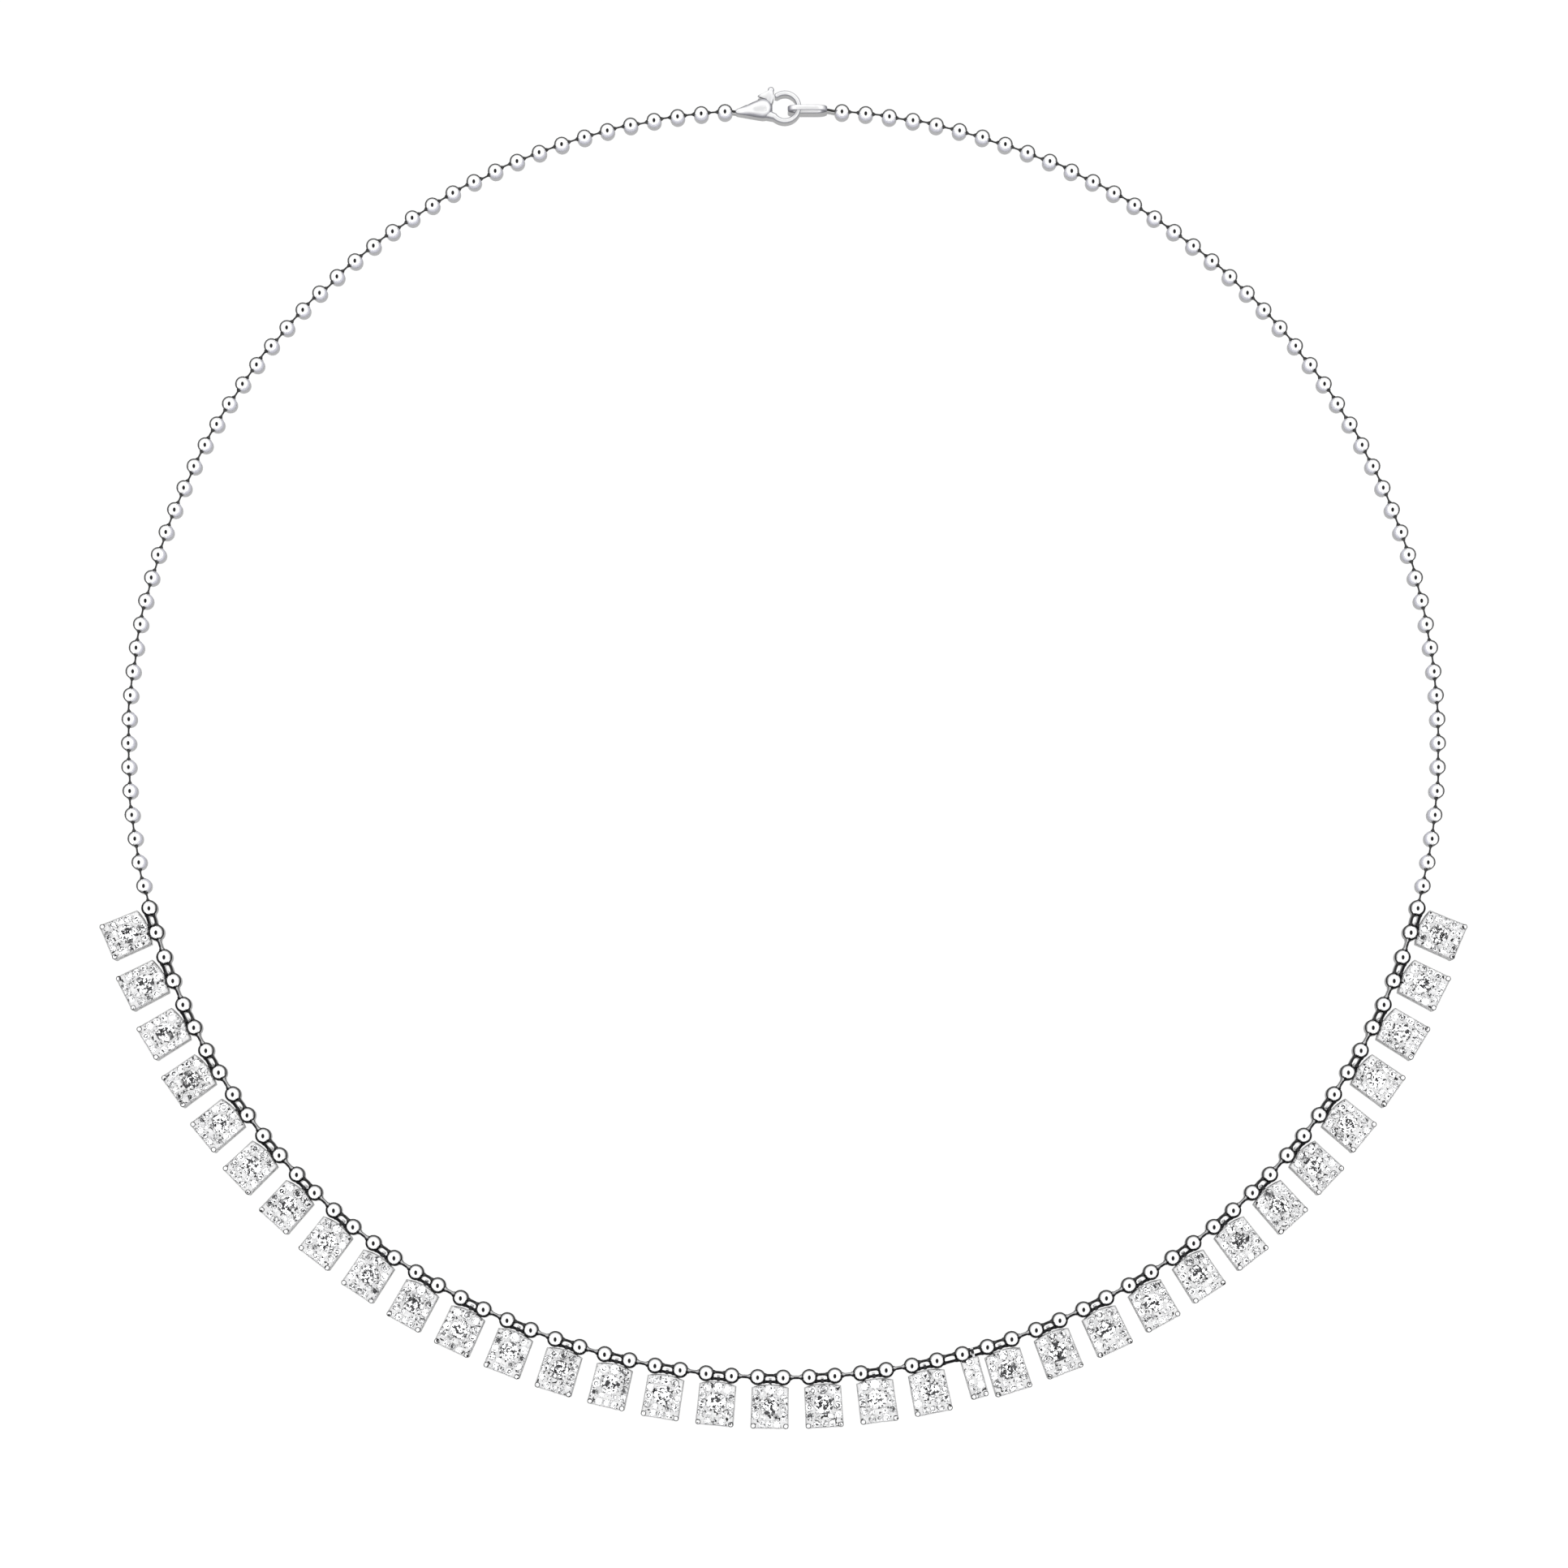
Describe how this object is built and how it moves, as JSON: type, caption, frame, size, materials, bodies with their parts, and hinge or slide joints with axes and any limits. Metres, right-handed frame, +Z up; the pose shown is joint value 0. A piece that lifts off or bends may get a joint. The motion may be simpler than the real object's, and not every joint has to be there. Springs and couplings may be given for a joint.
{
  "type": "diamond station necklace",
  "caption": "Round bead necklace laid flat, with square stone-set plaques hung along the front row, a finer bead chain behind, and a lobster clasp.",
  "frame": {"origin": "centre of the necklace's box, on the surface that it lies on", "axes": "+Z up from the surface, +Y towards the clasp, +X to the right seen from above with the plaques nearest"},
  "size_m": [0.1532, 0.1514, 0.0024],
  "materials": {
    "white_gold": "high polish, rhodium white",
    "diamond": "faceted, colourless"
  },
  "bodies": {
    "necklace": {"chain_left": "white_gold", "chain_right": "white_gold", "beaded_row_1": "white_gold", "beaded_row_2": "white_gold", "beaded_row_3": "white_gold", "beaded_row_4": "white_gold", "beaded_row_5": "white_gold", "station_01": "white_gold", "station_02": "white_gold", "station_03": "white_gold", "station_04": "white_gold", "station_05": "white_gold", "station_06": "white_gold", "station_07": "white_gold", "station_08": "white_gold", "station_09": "white_gold", "station_10": "white_gold", "station_11": "white_gold", "station_12": "white_gold", "station_13": "white_gold", "station_14": "white_gold", "station_15": "white_gold", "station_16": "white_gold", "station_17": "white_gold", "station_18": "white_gold", "station_19": "white_gold", "station_20": "white_gold", "station_21": "white_gold", "station_22": "white_gold", "station_23": "white_gold", "station_24": "white_gold", "station_25": "white_gold", "station_26": "white_gold", "station_27": "white_gold", "station_28": "white_gold", "station_29": "white_gold", "station_30": "white_gold", "station_31": "white_gold", "station_32": "white_gold", "station_33": "white_gold", "narrow_station": "white_gold", "clasp_body": "white_gold", "clasp_pin": "white_gold", "clasp_ring": "white_gold"},
    "lever": {"clasp_lever": "white_gold"}
  },
  "joints": [
    {"name": "lever_hinge", "type": "hinge", "parent": "necklace", "child": "lever", "pos_m": [-0.002, 0.07304, 0.00095], "axis": [0, 0, 1], "range_deg": [0, 30], "stiffness_Nm_per_rad": 0.001, "springref_deg": -11.46}
  ]
}
